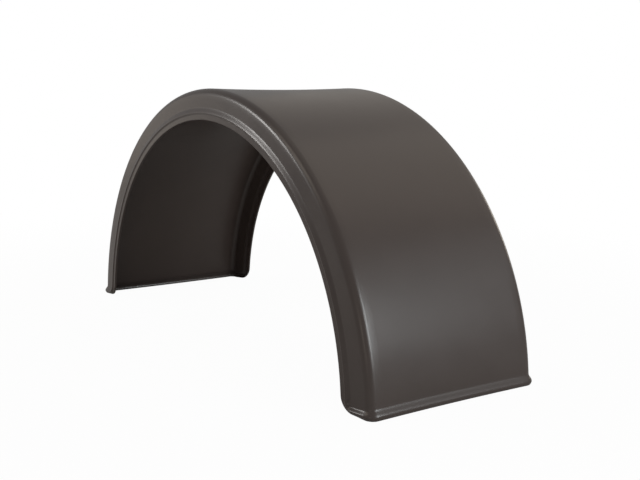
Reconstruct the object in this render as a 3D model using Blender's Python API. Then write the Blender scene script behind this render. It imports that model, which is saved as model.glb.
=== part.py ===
"""Trailer mudguard: one sheet of black plastic formed into a half-round arch.

The arch stands on its two feet with its wheel opening facing down. X runs from foot to foot,
Y runs across the guard and Z is up. The origin is midway between the feet, on the plane
that they stand on. All sizes are in metres.
"""
from math import asin, cos, pi, radians, sin

import bmesh
import bpy

# The arch, seen from the side
ARCH_RADIUS = 0.366
ARCH_CENTRE_BELOW_FEET = 0.022

# The section across the arch: flange, shoulder, tread, shoulder, flange
WIDTH_OVER_SHOULDERS = 0.245
SHOULDER_RADIUS = 0.010
TREAD_HOLLOW = 0.0020
FLANGE_DEPTH_AT_CROWN = 0.0412
FLANGE_DRAFT = radians(5)
SHEET_THICKNESS = 0.003

# The flanges are deeper at the feet; the extra depth fades out towards the crown
FLANGE_EXTRA_AT_FEET = 0.0064
FLANGE_EXTRA_POWER = 1.5

# The trimmed edge and the stiffening bead that follows it all the way round
CORNER_RADIUS = 0.017
FLANGE_EDGE_TO_BEAD = 0.0116
FLANGE_BEAD_HALF_WIDTH = 0.0048
FLANGE_LIP_LIFT = 0.0010
FOOT_EDGE_TO_BEAD = 0.0044
FOOT_BEAD_HALF_WIDTH = 0.0090
BEAD_HEIGHT = 0.0036

# At the rear foot the flanges are trimmed a little higher towards their free edges
REAR_FLANGE_RISE = 0.005

# How finely the sheet is divided
STEPS_ALONG_ARCH = 44
STEPS_ROUND_SHOULDER = 5
STEPS_ACROSS_TREAD = 8
STEPS_ROUND_CORNER = 5
STEPS_EDGE_TO_CREST = 6
STEPS_CREST_TO_ROOT = 5
RING_CROWDING = 1.3
SHARP_EDGE_ANGLE = radians(50)

# The plastic
PLASTIC_COLOUR = (0.035, 0.033, 0.031, 1)
PLASTIC_ROUGHNESS = 0.45

# The tread is a shallow arc that meets each shoulder arc without a kink
TREAD_HALF_WIDTH = WIDTH_OVER_SHOULDERS / 2 - SHOULDER_RADIUS
TREAD_CHORD_RADIUS = (TREAD_HALF_WIDTH ** 2 + TREAD_HOLLOW ** 2) / (2 * TREAD_HOLLOW)
TREAD_ARC_RADIUS = TREAD_CHORD_RADIUS - SHOULDER_RADIUS
TREAD_EDGE_SLOPE = asin(TREAD_HALF_WIDTH / (TREAD_ARC_RADIUS + SHOULDER_RADIUS))
FLANGE_HEADING = pi / 2 - FLANGE_DRAFT

# Lengths along the section, from the trimmed edge of one flange to that of the other
FLANGE_BELOW_SHOULDER = FLANGE_DEPTH_AT_CROWN - SHOULDER_RADIUS * (1 - cos(FLANGE_HEADING))
FLANGE_LENGTH = FLANGE_BELOW_SHOULDER / sin(FLANGE_HEADING)
SHOULDER_LENGTH = SHOULDER_RADIUS * (FLANGE_HEADING + TREAD_EDGE_SLOPE)
TREAD_LENGTH = 2 * TREAD_ARC_RADIUS * TREAD_EDGE_SLOPE
SECTION_LENGTH = 2 * (FLANGE_LENGTH + SHOULDER_LENGTH) + TREAD_LENGTH

# The edge zone is the band that holds the bead, measured in from the trimmed edge
FLANGE_BEAD_END = FLANGE_EDGE_TO_BEAD + FLANGE_BEAD_HALF_WIDTH
FOOT_BEAD_END = FOOT_EDGE_TO_BEAD + FOOT_BEAD_HALF_WIDTH
EDGE_ZONE = max(CORNER_RADIUS, FLANGE_BEAD_END, FOOT_BEAD_END)


def shoulder_point(heading, distance_past=0.0):
    """A point of the near shoulder arc where the section has this heading, moved on along it."""
    across = -TREAD_HALF_WIDTH - SHOULDER_RADIUS * sin(heading) + distance_past * cos(heading)
    outward = SHOULDER_RADIUS * (cos(heading) - 1) + distance_past * sin(heading)
    return across, outward


def flange_stretch(length):
    """Share of the flange's extra depth that is taken up between the shoulder and this length."""
    if length <= EDGE_ZONE:
        return 1.0
    return (FLANGE_LENGTH - length) / (FLANGE_LENGTH - EDGE_ZONE)


def section_at(length, flange_extra):
    """Place of the section as Y and radial distance from the arch radius, then its outward normal."""
    if length > SECTION_LENGTH / 2:
        across, outward, normal_y, normal_out = section_at(SECTION_LENGTH - length, flange_extra)
        return -across, outward, -normal_y, normal_out
    if length <= FLANGE_LENGTH:
        heading = FLANGE_HEADING
        past_shoulder = length - FLANGE_LENGTH - flange_extra * flange_stretch(length)
        across, outward = shoulder_point(heading, past_shoulder)
    elif length <= FLANGE_LENGTH + SHOULDER_LENGTH:
        heading = FLANGE_HEADING - (length - FLANGE_LENGTH) / SHOULDER_RADIUS
        across, outward = shoulder_point(heading)
    else:
        heading = (length - SECTION_LENGTH / 2) / TREAD_ARC_RADIUS
        across = TREAD_ARC_RADIUS * sin(heading)
        outward = -TREAD_HOLLOW + TREAD_ARC_RADIUS * (1 - cos(heading))
    return across, outward, -sin(heading), cos(heading)


def sheet_point(length, share, from_foot, lift):
    """A point of the sheet, lifted off the plain section along its normal.

    share runs from 0 at the front foot to 1 at the rear foot, between two places that lie
    from_foot away from each foot's plane, measured along the arch.
    """
    flange_extra = FLANGE_EXTRA_AT_FEET * (1 - sin(pi * share)) ** FLANGE_EXTRA_POWER
    across, outward, normal_y, normal_out = section_at(length, flange_extra)
    radius = ARCH_RADIUS + outward + lift * normal_out
    first = asin(ARCH_CENTRE_BELOW_FEET / radius) + from_foot / radius
    rear_rise = REAR_FLANGE_RISE * max(1 - min(length, SECTION_LENGTH - length) / FLANGE_LENGTH, 0.0)
    angle = first + share * (pi - 2 * first - rear_rise / radius)
    return radius * cos(angle), across + lift * normal_y, radius * sin(angle) - ARCH_CENTRE_BELOW_FEET


def smooth_step(share):
    share = min(max(share, 0.0), 1.0)
    return share * share * (3 - 2 * share)


def edge_to_bead(footness):
    """Distance from the trimmed edge to the bead's crest; footness is 0 on a flange and 1 on a foot."""
    return FLANGE_EDGE_TO_BEAD + footness * (FOOT_EDGE_TO_BEAD - FLANGE_EDGE_TO_BEAD)


def bead_half_width(footness):
    return FLANGE_BEAD_HALF_WIDTH + footness * (FOOT_BEAD_HALF_WIDTH - FLANGE_BEAD_HALF_WIDTH)


def edge_lift(inset, footness):
    """How far the sheet stands off its plain form: the lip, then the bead's rounded ridge."""
    off_crest = min(abs(inset - edge_to_bead(footness)) / bead_half_width(footness), 1.0)
    side_lift = FLANGE_LIP_LIFT * (1 - footness) if inset < edge_to_bead(footness) else 0.0
    return side_lift + (BEAD_HEIGHT - side_lift) * (1 + cos(pi * off_crest)) / 2


def ring_inset(ring, footness):
    """Distance of one edge ring from the trimmed edge; the rings crowd together towards the crest."""
    crest = edge_to_bead(footness)
    if ring <= STEPS_EDGE_TO_CREST:
        return crest * (1 - (1 - ring / STEPS_EDGE_TO_CREST) ** RING_CROWDING)
    return crest + bead_half_width(footness) * (ring - STEPS_EDGE_TO_CREST) / STEPS_CREST_TO_ROOT


def corner_centre(inset):
    """Distance of a ring's corner centre from both trimmed edges; the last ring's corner is sharp."""
    return CORNER_RADIUS + (EDGE_ZONE - CORNER_RADIUS) * inset / EDGE_ZONE


def section_stations():
    """Section lengths of the grid's columns, from one edge zone to the other."""
    half = [EDGE_ZONE]
    for step in range(STEPS_ROUND_SHOULDER + 1):
        half.append(FLANGE_LENGTH + SHOULDER_LENGTH * step / STEPS_ROUND_SHOULDER)
    for step in range(1, STEPS_ACROSS_TREAD // 2 + 1):
        half.append(FLANGE_LENGTH + SHOULDER_LENGTH + TREAD_LENGTH * step / STEPS_ACROSS_TREAD)
    half = [length for length in half if length >= EDGE_ZONE]
    return half + [SECTION_LENGTH - length for length in reversed(half[:-1])]


def corner_points(ring, share, mirrored, to_foot):
    """The points inside one rounded corner of a ring, without its two ends."""
    points = []
    steps = range(1, STEPS_ROUND_CORNER) if to_foot else range(STEPS_ROUND_CORNER - 1, 0, -1)
    for step in steps:
        turn = pi / 2 * step / STEPS_ROUND_CORNER
        footness = smooth_step(step / STEPS_ROUND_CORNER)
        inset = ring_inset(ring, footness)
        centre = corner_centre(inset)
        length = centre - (centre - inset) * cos(turn)
        from_foot = centre - (centre - inset) * sin(turn)
        if mirrored:
            length = SECTION_LENGTH - length
        points.append((length, share, from_foot, edge_lift(inset, footness)))
    return points


def foot_points(ring, share, stations):
    inset = ring_inset(ring, 1)
    centre = corner_centre(inset)
    lengths = [centre] + stations[1:-1] + [SECTION_LENGTH - centre]
    return [(length, share, inset, edge_lift(inset, 1)) for length in lengths]


def flange_points(ring, mirrored):
    inset = ring_inset(ring, 0)
    length = SECTION_LENGTH - inset if mirrored else inset
    shares = [step / STEPS_ALONG_ARCH for step in range(STEPS_ALONG_ARCH + 1)]
    return [(length, share, corner_centre(inset), edge_lift(inset, 0)) for share in shares]


def ring_points(ring, stations):
    """One closed ring round the sheet: front foot, far flange, rear foot, near flange."""
    points = foot_points(ring, 0, stations)
    points += corner_points(ring, 0, True, False)
    points += flange_points(ring, True)
    points += corner_points(ring, 1, True, True)
    points += foot_points(ring, 1, stations)[::-1]
    points += corner_points(ring, 1, False, False)
    points += flange_points(ring, False)[::-1]
    points += corner_points(ring, 0, False, True)
    return points


def inner_ring_vertices(grid):
    """The grid's border vertices in the order of ring_points, with each sharp corner repeated."""
    first, last = grid[0], grid[-1]
    ends = STEPS_ROUND_CORNER - 1
    ring = first + [first[-1]] * ends + [row[-1] for row in grid] + [last[-1]] * ends
    ring += last[::-1] + [last[0]] * ends + [row[0] for row in grid[::-1]] + [first[0]] * ends
    return ring


def add_face(mesh, corners, flipped):
    """A face from its corners, with repeated ones dropped; a flipped face looks the other way."""
    kept = [corner for i, corner in enumerate(corners) if corner is not corners[i - 1]]
    mesh.faces.new(kept[::-1] if flipped else kept)


def add_skin(mesh, depth):
    """One face of the sheet, depth below its outer face; returns its trimmed ring."""
    stations = section_stations()
    flipped = depth > 0
    grid = []
    for step in range(STEPS_ALONG_ARCH + 1):
        share = step / STEPS_ALONG_ARCH
        grid.append([mesh.verts.new(sheet_point(length, share, EDGE_ZONE, -depth)) for length in stations])
    for row, next_row in zip(grid, grid[1:]):
        for i in range(len(stations) - 1):
            add_face(mesh, (row[i], row[i + 1], next_row[i + 1], next_row[i]), flipped)
    rings = []
    for ring in range(STEPS_EDGE_TO_CREST + STEPS_CREST_TO_ROOT + 1):
        points = ring_points(ring, stations)
        rings.append([mesh.verts.new(sheet_point(*place, lift - depth)) for *place, lift in points])
    rings.append(inner_ring_vertices(grid))
    for outer, inner in zip(rings, rings[1:]):
        for i in range(len(outer)):
            add_face(mesh, (outer[i - 1], outer[i], inner[i], inner[i - 1]), flipped)
    return rings[0]


def mudguard_mesh():
    mesh = bmesh.new()
    outer_edge = add_skin(mesh, 0.0)
    inner_edge = add_skin(mesh, SHEET_THICKNESS)
    for i in range(len(outer_edge)):
        add_face(mesh, (inner_edge[i - 1], inner_edge[i], outer_edge[i], outer_edge[i - 1]), False)
    data = bpy.data.meshes.new("mudguard")
    mesh.to_mesh(data)
    mesh.free()
    data.shade_smooth()
    data.set_sharp_from_angle(angle=SHARP_EDGE_ANGLE)
    return data


def black_plastic():
    material = bpy.data.materials.new("black_plastic")
    material.use_nodes = True
    shader = material.node_tree.nodes["Principled BSDF"]
    shader.inputs["Base Color"].default_value = PLASTIC_COLOUR
    shader.inputs["Roughness"].default_value = PLASTIC_ROUGHNESS
    shader.inputs["Metallic"].default_value = 0.0
    return material


for old in list(bpy.data.objects):
    bpy.data.objects.remove(old)
guard = bpy.data.objects.new("mudguard", mudguard_mesh())
guard.data.materials.append(black_plastic())
bpy.context.scene.collection.objects.link(guard)
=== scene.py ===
from math import asin, cos, pi, radians, sin

import bmesh
import bpy
from mathutils import Matrix, Vector


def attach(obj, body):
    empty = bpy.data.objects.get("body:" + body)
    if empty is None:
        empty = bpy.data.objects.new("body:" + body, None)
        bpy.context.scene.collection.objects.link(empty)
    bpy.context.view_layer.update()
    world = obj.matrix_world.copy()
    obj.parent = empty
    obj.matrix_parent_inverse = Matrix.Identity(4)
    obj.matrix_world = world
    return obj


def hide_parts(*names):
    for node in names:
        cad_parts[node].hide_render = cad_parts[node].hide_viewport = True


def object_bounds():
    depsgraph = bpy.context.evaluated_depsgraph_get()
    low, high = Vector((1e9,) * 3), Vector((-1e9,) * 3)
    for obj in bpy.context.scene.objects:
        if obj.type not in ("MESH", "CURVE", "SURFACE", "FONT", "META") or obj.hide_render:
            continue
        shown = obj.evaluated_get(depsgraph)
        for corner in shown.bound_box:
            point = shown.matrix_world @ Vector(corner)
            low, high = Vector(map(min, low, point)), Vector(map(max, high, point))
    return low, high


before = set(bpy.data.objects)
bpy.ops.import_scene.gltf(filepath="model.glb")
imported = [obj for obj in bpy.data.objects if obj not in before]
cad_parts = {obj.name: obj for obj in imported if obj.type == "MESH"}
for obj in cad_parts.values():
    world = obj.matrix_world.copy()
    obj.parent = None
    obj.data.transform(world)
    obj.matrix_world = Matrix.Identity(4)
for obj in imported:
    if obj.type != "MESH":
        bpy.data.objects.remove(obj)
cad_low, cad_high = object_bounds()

# Moulded sheet
# The guard is one sheet of black plastic, warmed and drawn over a half-round mould, so both of its
# faces follow one form: a slightly hollow tread, two rounded shoulders and two flanges. A bead is
# pressed into it all the way round, just inside the trimmed edge, to stiffen it.
ARCH_RADIUS = 0.366
ARCH_CENTRE_BELOW_FEET = 0.022
WIDTH_OVER_SHOULDERS = 0.245
SHOULDER_RADIUS = 0.010
TREAD_HOLLOW = 0.0020
FLANGE_DEPTH_AT_CROWN = 0.0412
FLANGE_EXTRA_AT_FEET = 0.0064
FLANGE_EXTRA_POWER = 1.5
FLANGE_DRAFT = radians(5)
SHEET_THICKNESS = 0.003
CORNER_RADIUS = 0.017
REAR_FLANGE_RISE = 0.005
FLANGE_EDGE_TO_BEAD = 0.0092
FLANGE_BEAD_OUTER_WIDTH = 0.0068
FLANGE_BEAD_INNER_WIDTH = 0.0022
FLANGE_BEAD_HEIGHT = 0.0022
FLANGE_BEAD_WEDGE = 0.75
FLANGE_LIP_LIFT = 0.0008
FOOT_EDGE_TO_BEAD = 0.0044
FOOT_BEAD_HALF_WIDTH = 0.0090
FOOT_BEAD_HALF_WIDTH_BY_FLANGE = 0.0048
FOOT_BEAD_HEIGHT = 0.00355
CUT_EDGE_ROUNDING = 0.0006

STEPS_ALONG_ARCH = 132
STEPS_ROUND_SHOULDER = 8
STEPS_ACROSS_TREAD = 24
STEPS_ON_FLANGE = 3
STEPS_ROUND_CORNER = 10
STEPS_EDGE_TO_CREST = 14
STEPS_CREST_TO_ROOT = 12
RING_CROWDING = 1.3
STEPS_ON_CUT_EDGE = 3

TREAD_HALF_WIDTH = WIDTH_OVER_SHOULDERS / 2 - SHOULDER_RADIUS
TREAD_CHORD_RADIUS = (TREAD_HALF_WIDTH ** 2 + TREAD_HOLLOW ** 2) / (2 * TREAD_HOLLOW)
TREAD_ARC_RADIUS = TREAD_CHORD_RADIUS - SHOULDER_RADIUS
TREAD_EDGE_SLOPE = asin(TREAD_HALF_WIDTH / (TREAD_ARC_RADIUS + SHOULDER_RADIUS))
FLANGE_HEADING = pi / 2 - FLANGE_DRAFT
FLANGE_LENGTH = (FLANGE_DEPTH_AT_CROWN - SHOULDER_RADIUS * (1 - cos(FLANGE_HEADING))) / sin(FLANGE_HEADING)
SHOULDER_LENGTH = SHOULDER_RADIUS * (FLANGE_HEADING + TREAD_EDGE_SLOPE)
TREAD_LENGTH = 2 * TREAD_ARC_RADIUS * TREAD_EDGE_SLOPE
SECTION_LENGTH = 2 * (FLANGE_LENGTH + SHOULDER_LENGTH) + TREAD_LENGTH
EDGE_ZONE = max(CORNER_RADIUS, FLANGE_EDGE_TO_BEAD + FLANGE_BEAD_OUTER_WIDTH)


def shoulder_point(heading, distance_past=0.0):
    """A point of the near shoulder arc where the section has this heading, moved on along it."""
    across = -TREAD_HALF_WIDTH - SHOULDER_RADIUS * sin(heading) + distance_past * cos(heading)
    outward = SHOULDER_RADIUS * (cos(heading) - 1) + distance_past * sin(heading)
    return across, outward


def flange_stretch(length):
    """Share of the flange's extra depth that is taken up between the shoulder and this length."""
    if length <= EDGE_ZONE:
        return 1.0
    return (FLANGE_LENGTH - length) / (FLANGE_LENGTH - EDGE_ZONE)


def section_at(length, flange_extra):
    """Y and radial place of the section at this length from the near flange's edge, then its normal."""
    if length > SECTION_LENGTH / 2:
        across, outward, normal_y, normal_out = section_at(SECTION_LENGTH - length, flange_extra)
        return -across, outward, -normal_y, normal_out
    if length <= FLANGE_LENGTH:
        heading = FLANGE_HEADING
        past_shoulder = length - FLANGE_LENGTH - flange_extra * flange_stretch(length)
        across, outward = shoulder_point(heading, past_shoulder)
    elif length <= FLANGE_LENGTH + SHOULDER_LENGTH:
        heading = FLANGE_HEADING - (length - FLANGE_LENGTH) / SHOULDER_RADIUS
        across, outward = shoulder_point(heading)
    else:
        heading = (length - SECTION_LENGTH / 2) / TREAD_ARC_RADIUS
        across = TREAD_ARC_RADIUS * sin(heading)
        outward = -TREAD_HOLLOW + TREAD_ARC_RADIUS * (1 - cos(heading))
    return across, outward, -sin(heading), cos(heading)


def sheet_point(length, share, from_foot, lift):
    """A point of the sheet; share runs from the +X foot to the -X foot, less from_foot at both ends."""
    flange_extra = FLANGE_EXTRA_AT_FEET * (1 - sin(pi * share)) ** FLANGE_EXTRA_POWER
    across, outward, normal_y, normal_out = section_at(length, flange_extra)
    radius = ARCH_RADIUS + outward + lift * normal_out
    first = asin(ARCH_CENTRE_BELOW_FEET / radius) + from_foot / radius
    rear_rise = REAR_FLANGE_RISE * max(1 - min(length, SECTION_LENGTH - length) / FLANGE_LENGTH, 0.0)
    angle = first + share * (pi - 2 * first - rear_rise / radius)
    return radius * cos(angle), across + lift * normal_y, radius * sin(angle) - ARCH_CENTRE_BELOW_FEET


def smooth_step(share):
    share = min(max(share, 0.0), 1.0)
    return share * share * (3 - 2 * share)


def bead_place(footness, on_tread):
    """Widths from edge to crest and from crest to root; footness is 0 on a flange and 1 on a foot."""
    edge_to_bead = FLANGE_EDGE_TO_BEAD + footness * (FOOT_EDGE_TO_BEAD - FLANGE_EDGE_TO_BEAD)
    narrowing = FLANGE_BEAD_OUTER_WIDTH - FOOT_BEAD_HALF_WIDTH_BY_FLANGE
    by_flange = FLANGE_BEAD_OUTER_WIDTH - footness * narrowing
    return edge_to_bead, by_flange + on_tread * (FOOT_BEAD_HALF_WIDTH - by_flange)


def foot_bead_lift(off_crest, half_width):
    """The foot's bead is one rounded ridge, steeper where it crosses the flange."""
    return FOOT_BEAD_HEIGHT * (1 + cos(pi * min(abs(off_crest) / half_width, 1.0))) / 2


def flange_bead_lift(off_crest):
    """The flange's bead climbs from its root, more straight than rounded, then drops to the lip."""
    if off_crest < 0:
        share = min(-off_crest / FLANGE_BEAD_INNER_WIDTH, 1.0)
        return FLANGE_LIP_LIFT + (FLANGE_BEAD_HEIGHT - FLANGE_LIP_LIFT) * (1 + cos(pi * share)) / 2
    share = min(off_crest / FLANGE_BEAD_OUTER_WIDTH, 1.0)
    rounded = (1 + cos(pi * share)) / 2
    return FLANGE_BEAD_HEIGHT * (rounded + FLANGE_BEAD_WEDGE * (1 - share - rounded))


def bead_lift(off_crest, footness, half_width):
    """How far the sheet stands off its plain form, from flange to foot."""
    return flange_bead_lift(off_crest) * (1 - footness) + foot_bead_lift(off_crest, half_width) * footness


def border_rings():
    """The rings from the outer face's grid, over the bead and the cut edge, to the inner face's grid.

    Each is a share of the way from edge to crest, one from crest to root, an offset and a depth.
    """
    outer = []
    for step in range(STEPS_CREST_TO_ROOT):
        outer.append((1.0, 1 - step / STEPS_CREST_TO_ROOT, 0.0, 0.0))
    for step in range(STEPS_EDGE_TO_CREST + 1):
        crest_share = 1 - (step / STEPS_EDGE_TO_CREST) ** RING_CROWDING
        outer.append((crest_share, 0.0, CUT_EDGE_ROUNDING * (1 - crest_share), 0.0))
    for step in range(1, STEPS_ON_CUT_EDGE + 1):
        turn = pi / 2 * step / STEPS_ON_CUT_EDGE
        outer.append((0.0, 0.0, CUT_EDGE_ROUNDING * (1 - sin(turn)), CUT_EDGE_ROUNDING * (1 - cos(turn))))
    return outer + [(*ring, SHEET_THICKNESS - depth) for *ring, depth in reversed(outer)]


def even_steps(start, stretch, steps):
    """Places at even steps along a stretch, without its end."""
    return [start + stretch * step / steps for step in range(steps)]


def section_stations():
    """Section lengths of the grid's columns, from one edge zone to the other."""
    half = even_steps(EDGE_ZONE, FLANGE_LENGTH - EDGE_ZONE, STEPS_ON_FLANGE)
    half += even_steps(FLANGE_LENGTH, SHOULDER_LENGTH, STEPS_ROUND_SHOULDER)
    half += even_steps(FLANGE_LENGTH + SHOULDER_LENGTH, TREAD_LENGTH / 2, STEPS_ACROSS_TREAD // 2)
    return half + [SECTION_LENGTH / 2] + [SECTION_LENGTH - length for length in reversed(half)]


def ring_points(ring, stations):
    """One closed ring round the sheet: +X foot, far flange, -X foot, near flange."""
    crest_share, root_share, offset, depth = ring

    def ring_place(footness, on_tread=0.0):
        """Inset from the edge, centre of the corner's arc and lift, all where this ring runs."""
        edge_to_bead, outer_width = bead_place(footness, on_tread)
        inset = edge_to_bead * crest_share + outer_width * root_share + offset
        centre = CORNER_RADIUS + (EDGE_ZONE - CORNER_RADIUS) * inset / EDGE_ZONE
        return inset, centre, bead_lift(inset - edge_to_bead, footness, outer_width) - depth

    def corner(share, mirrored, to_foot):
        """One rounded corner of a flange, listed towards the foot or away from it."""
        places = []
        for step in range(1, STEPS_ROUND_CORNER):
            turn = pi / 2 * step / STEPS_ROUND_CORNER
            inset, centre, lift = ring_place(smooth_step(step / STEPS_ROUND_CORNER))
            length = centre - (centre - inset) * cos(turn)
            from_foot = centre - (centre - inset) * sin(turn)
            places.append((SECTION_LENGTH - length if mirrored else length, share, from_foot, lift))
        return places if to_foot else places[::-1]

    foot_centre = ring_place(1)[1]
    flange_inset, flange_centre, flange_lift = ring_place(0)
    foot_lengths = [foot_centre] + stations[1:-1] + [SECTION_LENGTH - foot_centre]
    shares = [step / STEPS_ALONG_ARCH for step in range(STEPS_ALONG_ARCH + 1)]
    foot, rear_foot = [], []
    for length in foot_lengths:
        past_flange = min(length, SECTION_LENGTH - length) - FLANGE_LENGTH + SHOULDER_LENGTH
        inset, _, lift = ring_place(1, smooth_step(past_flange / (2 * SHOULDER_LENGTH)))
        foot.append((length, 0, inset, lift))
        rear_foot.insert(0, (length, 1, inset, lift))
    far_flange = [(SECTION_LENGTH - flange_inset, share, flange_centre, flange_lift) for share in shares]
    near_flange = [(flange_inset, share, flange_centre, flange_lift) for share in reversed(shares)]
    places = foot + corner(0, True, False) + far_flange + corner(1, True, True)
    places += rear_foot + corner(1, False, False) + near_flange + corner(0, False, True)
    return [sheet_point(*place) for place in places]


def grid_border(grid):
    """A grid's border vertices in the order of ring_points, with each sharp corner repeated."""
    first, last = grid[0], grid[-1]
    repeats = STEPS_ROUND_CORNER - 1
    border = first + [first[-1]] * repeats + [row[-1] for row in grid] + [last[-1]] * repeats
    return border + last[::-1] + [last[0]] * repeats + [row[0] for row in grid[::-1]] + [first[0]] * repeats


def add_face(mesh, corners):
    """A face from its corners, with repeated ones dropped."""
    mesh.faces.new([corner for i, corner in enumerate(corners) if corner is not corners[i - 1]])


def sheet_mesh():
    """The closed sheet: a grid for each of its faces and the rings that join them round the edge."""
    mesh = bmesh.new()
    stations = section_stations()
    rings = [[mesh.verts.new(point) for point in ring_points(ring, stations)] for ring in border_rings()]
    for depth in (0.0, SHEET_THICKNESS):
        grid = []
        for step in range(STEPS_ALONG_ARCH + 1):
            share = step / STEPS_ALONG_ARCH
            points = [sheet_point(length, share, EDGE_ZONE, -depth) for length in stations]
            grid.append([mesh.verts.new(point) for point in points])
        for row, next_row in zip(grid, grid[1:]):
            for i in range(len(stations) - 1):
                corners = [row[i], row[i + 1], next_row[i + 1], next_row[i]]
                add_face(mesh, corners[::-1] if depth else corners)
        if depth:
            rings.append(grid_border(grid))
        else:
            rings.insert(0, grid_border(grid))
    for inner, outer in zip(rings, rings[1:]):
        for i in range(len(outer)):
            add_face(mesh, (outer[i - 1], outer[i], inner[i], inner[i - 1]))
    data = bpy.data.meshes.new("mudguard_sheet")
    mesh.to_mesh(data)
    mesh.free()
    data.shade_smooth()
    return data


class Socket:
    """A node's output, with Python's operators adding the Math nodes for it.

    Without an output it only stands for the tree, to add the first nodes.
    """

    def __init__(self, tree, output=None):
        self.tree = tree
        self.output = output

    def node(self, kind, settings=None, output=0, **inputs):
        """A new node's output; its inputs go by name, or by number as s0 and s1."""
        made = self.tree.nodes.new("ShaderNode" + kind)
        for name, value in (settings or {}).items():
            setattr(made, name, value)
        for name, value in inputs.items():
            key = int(name[1:]) if name[1:].isdigit() else name.replace("_", " ")
            if isinstance(value, Socket):
                self.tree.links.new(value.output, made.inputs[key])
            else:
                made.inputs[key].default_value = value
        return Socket(self.tree, made.outputs[output] if made.outputs else None)

    def math(self, operation, *values):
        numbered = {f"s{i}": value for i, value in enumerate(values)}
        return self.node("Math", {"operation": operation}, **numbered)

    def __add__(self, other):
        return self.math("ADD", self, other)

    def __mul__(self, other):
        return self.math("MULTIPLY", self, other)

    __radd__ = __add__
    __rmul__ = __mul__


PLASTIC_COLOUR = (0.043, 0.0310, 0.0265, 1)
PLASTIC_CLOUDED_COLOUR = (0.050, 0.0365, 0.0315, 1)
GRAIN_SIZE = 0.0012
GRAIN_HEIGHT = 0.00004
CLOUD_SIZE = 0.045
ROUGHNESS_AT_LEAST = 0.24
ROUGHNESS_FROM_CLOUDS = 0.06
ROUGHNESS_FROM_GRAIN = 0.06
PLASTIC_IOR = 1.5


def moulded_plastic():
    """Black plastic that kept a fine grain from its mould, with a soft satin shine."""
    material = bpy.data.materials.new("moulded_black_plastic")
    material.use_nodes = True
    tree = material.node_tree
    shader = tree.nodes["Principled BSDF"]
    place = Socket(tree).node("TexCoord", output="Object")
    cloud = place.node("TexNoise", Vector=place, Scale=1 / CLOUD_SIZE, Detail=3.0, Roughness=0.5)
    grain = place.node("TexNoise", Vector=place, Scale=1 / GRAIN_SIZE, Detail=2.0, Roughness=0.6)
    colours = {"s6": PLASTIC_COLOUR, "s7": PLASTIC_CLOUDED_COLOUR}
    colour = cloud.node("Mix", {"data_type": "RGBA"}, output=2, Factor=cloud, **colours)
    roughness = ROUGHNESS_AT_LEAST + cloud * ROUGHNESS_FROM_CLOUDS + grain * ROUGHNESS_FROM_GRAIN
    bump = grain.node("Bump", Strength=1.0, Distance=GRAIN_HEIGHT, Height=grain)
    tree.links.new(colour.output, shader.inputs["Base Color"])
    tree.links.new(roughness.output, shader.inputs["Roughness"])
    tree.links.new(bump.output, shader.inputs["Normal"])
    shader.inputs["Metallic"].default_value = 0.0
    shader.inputs["IOR"].default_value = PLASTIC_IOR
    return material


guard = bpy.data.objects.new("mudguard_sheet", sheet_mesh())
guard.data.materials.append(moulded_plastic())
bpy.context.scene.collection.objects.link(guard)
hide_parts("mudguard")
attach(guard, "root")

# Floor
# A plain sheet of white paper that runs to the horizon. To the camera nearly all of its white is the
# paper's own, far from the guard all of it, so that only the guard's soft shadow shows on it.
FLOOR_HALF_SIZE = 12.0
FLOOR_COLOUR = (0.65, 0.65, 0.65, 1)
OWN_WHITE_NEAR = 0.97
OWN_WHITE_FROM = 0.45
OWN_WHITE_FULL_AT = 1.3

floor_mesh = bpy.data.meshes.new("floor")
quarters = ((-1, -1), (1, -1), (1, 1), (-1, 1))
floor_corners = [(x * FLOOR_HALF_SIZE, y * FLOOR_HALF_SIZE, cad_low[2]) for x, y in quarters]
floor_mesh.from_pydata(floor_corners, [], [(0, 1, 2, 3)])
floor = bpy.data.objects.new("floor", floor_mesh)
bpy.context.scene.collection.objects.link(floor)

paper = bpy.data.materials.new("white_paper")
paper.use_nodes = True
tree = paper.node_tree
tree.nodes.clear()
seen = Socket(tree).node("LightPath", output="Is Camera Ray")
place = Socket(tree).node("TexCoord", output="Object")
distance = place.node("VectorMath", {"operation": "LENGTH"}, output="Value", s0=place)
limits = {"From_Min": OWN_WHITE_FROM, "From_Max": OWN_WHITE_FULL_AT, "To_Min": OWN_WHITE_NEAR}
own_white = distance.node("MapRange", {"interpolation_type": "SMOOTHSTEP"}, Value=distance, **limits)
matt = seen.node("BsdfDiffuse", Color=FLOOR_COLOUR)
white = seen.node("Emission", Color=(1, 1, 1, 1), Strength=1.0)
blend = seen.node("MixShader", s0=seen * own_white, s1=matt, s2=white)
blend.node("OutputMaterial", Surface=blend)
floor_mesh.materials.append(paper)

# Lights
# The studio has a white background, dim soft light from all round and soft boxes: a bright cool one
# low on the right, a nearly neutral one at the front left and weaker ones, mostly warm, all round.
AMBIENT = 0.38
BOX_DISTANCE = 2.2
BOX_LOWEST_CENTRE = 0.27
COOL_WHITE = (0.93, 0.98, 1.0)
NEUTRAL_WHITE = (1.0, 0.98, 0.96)
WARM_WHITE = (1.0, 0.90, 0.76)
AMBER_WHITE = (1.0, 0.84, 0.62)

world = bpy.data.worlds.new("studio")
world.use_nodes = True
bpy.context.scene.world = world
tree = world.node_tree
seen = Socket(tree).node("LightPath", output="Is Camera Ray")
background = tree.nodes["Background"]
background.inputs["Color"].default_value = (1, 1, 1, 1)
tree.links.new((AMBIENT + seen * (1 - AMBIENT)).output, background.inputs["Strength"])


def way_out(azimuth, elevation):
    """The direction from the guard to a lamp or the camera. Azimuth 0 is at -Y and 90 at +X."""
    turn, rise = radians(azimuth), radians(elevation)
    return Vector((sin(turn) * cos(rise), -cos(turn) * cos(rise), sin(rise)))


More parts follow.
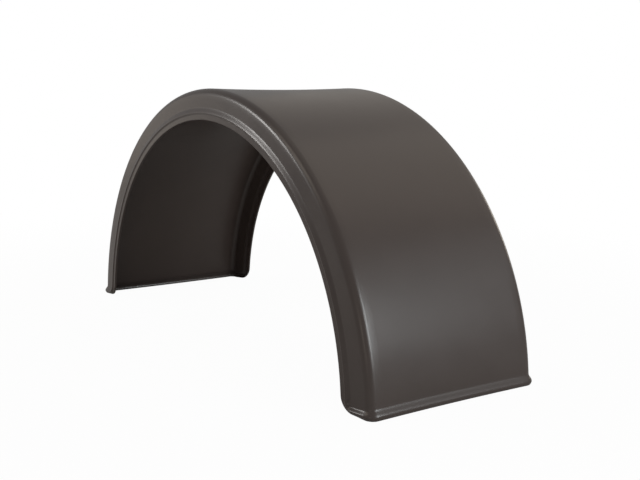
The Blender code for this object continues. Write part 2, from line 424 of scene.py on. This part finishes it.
def soft_box(name, azimuth, elevation, size, watts, colour):
    """A square lamp that faces the guard."""
    middle = Vector((0, 0, ARCH_RADIUS / 2))
    lamp = bpy.data.lights.new(name, "AREA")
    lamp.shape = "SQUARE"
    lamp.size = size
    lamp.energy = watts
    lamp.color = colour
    holder = bpy.data.objects.new(name, lamp)
    holder.location = middle + way_out(azimuth, elevation) * BOX_DISTANCE
    holder.location.z = max(holder.location.z, BOX_LOWEST_CENTRE)
    holder.rotation_euler = (holder.location - middle).to_track_quat("Z", "Y").to_euler()
    bpy.context.scene.collection.objects.link(holder)


soft_box("right_low", 108, 14, 0.7, 18.5, COOL_WHITE)
soft_box("right_middle", 133, 25, 0.7, 0.9, COOL_WHITE)
soft_box("front_right", 42, 6, 0.35, 1.0, WARM_WHITE)
soft_box("front", -12, 42, 0.9, 4.5, WARM_WHITE)
soft_box("front_left", -41, 19, 0.48, 11.0, NEUTRAL_WHITE)
soft_box("left_low", -68, 4, 0.6, 0.7, WARM_WHITE)
soft_box("back_low", 180, 15, 0.7, 5.5, WARM_WHITE)
soft_box("back_high", 170, 48, 1.6, 3.9, WARM_WHITE)
soft_box("back_left", -140, 33, 1.2, 0.8, AMBER_WHITE)
soft_box("overhead", 90, 84, 1.6, 2.0, WARM_WHITE)

# Camera
# It stands to the right of the guard's near side, a little above it, and leans slightly. It looks at
# a point that lies to the right of the middle between the feet, and above it.
CAMERA_AZIMUTH = 55.6189
CAMERA_ELEVATION = 9.8876
CAMERA_ROLL = radians(0.6801)
CAMERA_DISTANCE = 3.8506 * ARCH_RADIUS
CAMERA_SENSOR_MM = 36
CAMERA_LENS_MM = 55.12
AIM_RIGHT = 0.1399 * ARCH_RADIUS
AIM_UP = 0.3551 * ARCH_RADIUS

back = way_out(CAMERA_AZIMUTH, CAMERA_ELEVATION)
level_right = way_out(CAMERA_AZIMUTH + 90, 0)
level_up = back.cross(level_right)
right = level_right * cos(CAMERA_ROLL) + level_up * sin(CAMERA_ROLL)
up = level_up * cos(CAMERA_ROLL) - level_right * sin(CAMERA_ROLL)
camera = bpy.data.objects.new("camera", bpy.data.cameras.new("camera"))
camera.data.sensor_width = CAMERA_SENSOR_MM
camera.data.lens = CAMERA_LENS_MM
camera.matrix_world = Matrix((right, up, back)).transposed().to_4x4()
camera.location = right * AIM_RIGHT + up * AIM_UP + back * CAMERA_DISTANCE
bpy.context.scene.collection.objects.link(camera)
bpy.context.scene.camera = camera

bpy.context.scene.view_settings.view_transform = "Standard"
